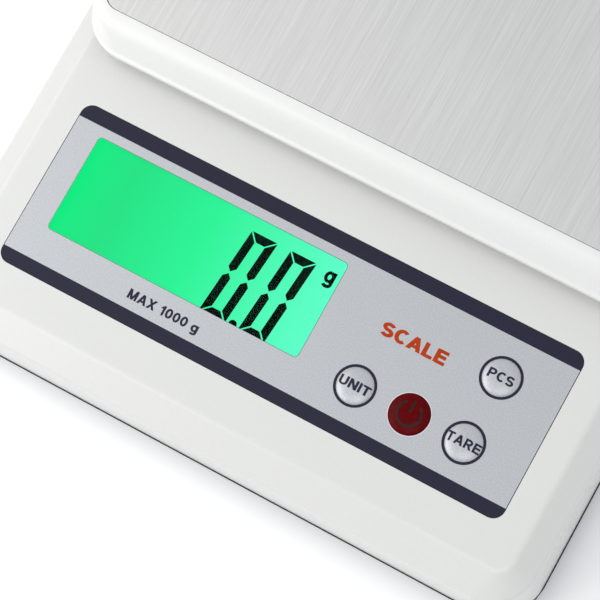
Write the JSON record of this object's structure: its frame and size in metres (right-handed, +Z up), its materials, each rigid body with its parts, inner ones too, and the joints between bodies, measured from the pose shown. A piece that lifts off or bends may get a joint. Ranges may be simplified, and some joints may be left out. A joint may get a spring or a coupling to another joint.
{
  "type": "counting scale",
  "caption": "Electronic counting scale: white casing with a lit display and round keys in front of a floating tray with a brushed steel plate.",
  "frame": {"origin": "under the middle of the casing, at the level of the surface that the feet stand on", "axes": "+X to the user's right, +Y from the display towards the rear, +Z up"},
  "size_m": [0.1668, 0.2378, 0.039],
  "materials": {
    "casing_white": "satin injection-moulded ABS, fine even grain",
    "tray_white": "satin injection-moulded ABS, a little glossier than the casing",
    "base_dark": "matt dark blue-black ABS",
    "film_silver": "metallic silver print on a matt polyester film, dark navy bands",
    "lens_clear": "clear acrylic, polished",
    "lcd_green": "liquid crystal cell, lit green from behind",
    "frame_white": "matt white moulded frame",
    "light_guide": "milky acrylic light guide",
    "led_white": "light-emitting diode, clear green resin",
    "connector_grey": "striped conductive silicone rubber",
    "board_green": "glass-fibre board with green solder mask",
    "chip_black": "black epoxy over the controller",
    "key_silver": "silver domed key, glossy, black legend",
    "key_red": "dark red domed key, glossy, grey power symbol",
    "switch_black": "black glass-filled nylon",
    "plunger_grey": "dark grey nylon",
    "plate_steel": "stainless sheet brushed front to back",
    "beam_aluminium": "machined, clear anodised",
    "carrier_aluminium": "die-cast, as cast",
    "screw_steel": "zinc-plated steel",
    "foot_rubber": "moulded rubber",
    "battery_jacket": "printed metallic sleeve, plain blue",
    "contact_nickel": "nickel-plated spring steel",
    "cable_grey": "grey vinyl jacket",
    "lead_red": "red vinyl insulation",
    "lead_black": "black vinyl insulation"
  },
  "bodies": {
    "casing": {"upper_casing": "casing_white", "lower_casing": "base_dark", "control_panel": "film_silver", "display_window": "lens_clear", "lcd_glass": "lcd_green", "lcd_frame": "frame_white", "backlight_panel": "light_guide", "backlight_led_1": "led_white", "backlight_led_2": "led_white", "lcd_connector": "connector_grey", "main_board": "board_green", "controller_chip": "chip_black", "load_cell": "beam_aluminium", "load_cell_base": "beam_aluminium", "battery_terminal_positive": "contact_nickel", "battery_terminal_negative": "contact_nickel", "battery_link_left": "contact_nickel", "battery_link_right": "contact_nickel", "load_cell_cable": "cable_grey", "battery_lead_positive": "lead_red", "battery_lead_negative": "lead_black", "foot_front_left": "foot_rubber", "casing_screw_front_left": "screw_steel", "board_screw_front_left": "screw_steel", "foot_front_right": "foot_rubber", "casing_screw_front_right": "screw_steel", "board_screw_front_right": "screw_steel", "foot_rear_left": "foot_rubber", "casing_screw_rear_left": "screw_steel", "board_screw_rear_left": "screw_steel", "foot_rear_right": "foot_rubber", "casing_screw_rear_right": "screw_steel", "board_screw_rear_right": "screw_steel", "load_cell_base_screw_1": "screw_steel", "load_cell_base_screw_2": "screw_steel", "battery_1": "battery_jacket", "battery_2": "battery_jacket", "battery_3": "battery_jacket", "unit_switch": "switch_black", "power_switch": "switch_black", "tare_switch": "switch_black", "pcs_switch": "switch_black"},
    "weighing_pan": {"pan_tray": "tray_white", "pan_plate": "plate_steel", "pan_carrier": "carrier_aluminium", "tray_screw_front_left": "screw_steel", "tray_screw_front_right": "screw_steel", "tray_screw_rear_left": "screw_steel", "tray_screw_rear_right": "screw_steel", "load_cell_top_screw_1": "screw_steel", "load_cell_top_screw_2": "screw_steel"},
    "battery_lid": {"battery_cover": "base_dark"},
    "unit_key": {"unit_button": "key_silver", "unit_switch_plunger": "plunger_grey"},
    "power_key": {"power_button": "key_red", "power_switch_plunger": "plunger_grey"},
    "tare_key": {"tare_button": "key_silver", "tare_switch_plunger": "plunger_grey"},
    "pcs_key": {"pcs_button": "key_silver", "pcs_switch_plunger": "plunger_grey"}
  },
  "joints": [
    {"name": "pan_deflection", "type": "slide", "parent": "casing", "child": "weighing_pan", "axis": [0, 0, -1], "range_m": [0, 0.0005], "stiffness_N_per_m": 25000, "springref_m": -0.00012, "deforming": ["load_cell"]},
    {"name": "unit_key_press", "type": "slide", "parent": "casing", "child": "unit_key", "axis": [0, 0, -1], "range_m": [0, 0.0005], "stiffness_N_per_m": 1500, "springref_m": -0.0005},
    {"name": "power_key_press", "type": "slide", "parent": "casing", "child": "power_key", "axis": [0, 0, -1], "range_m": [0, 0.0005], "stiffness_N_per_m": 1500, "springref_m": -0.0005},
    {"name": "tare_key_press", "type": "slide", "parent": "casing", "child": "tare_key", "axis": [0, 0, -1], "range_m": [0, 0.0005], "stiffness_N_per_m": 1500, "springref_m": -0.0005},
    {"name": "pcs_key_press", "type": "slide", "parent": "casing", "child": "pcs_key", "axis": [0, 0, -1], "range_m": [0, 0.0005], "stiffness_N_per_m": 1500, "springref_m": -0.0005},
    {"name": "battery_lid_tilt", "type": "hinge", "parent": "casing", "child": "battery_lid", "pos_m": [0, 0.1075, 0.003], "axis": [1, 0, 0], "range_deg": [0, 75]}
  ]
}
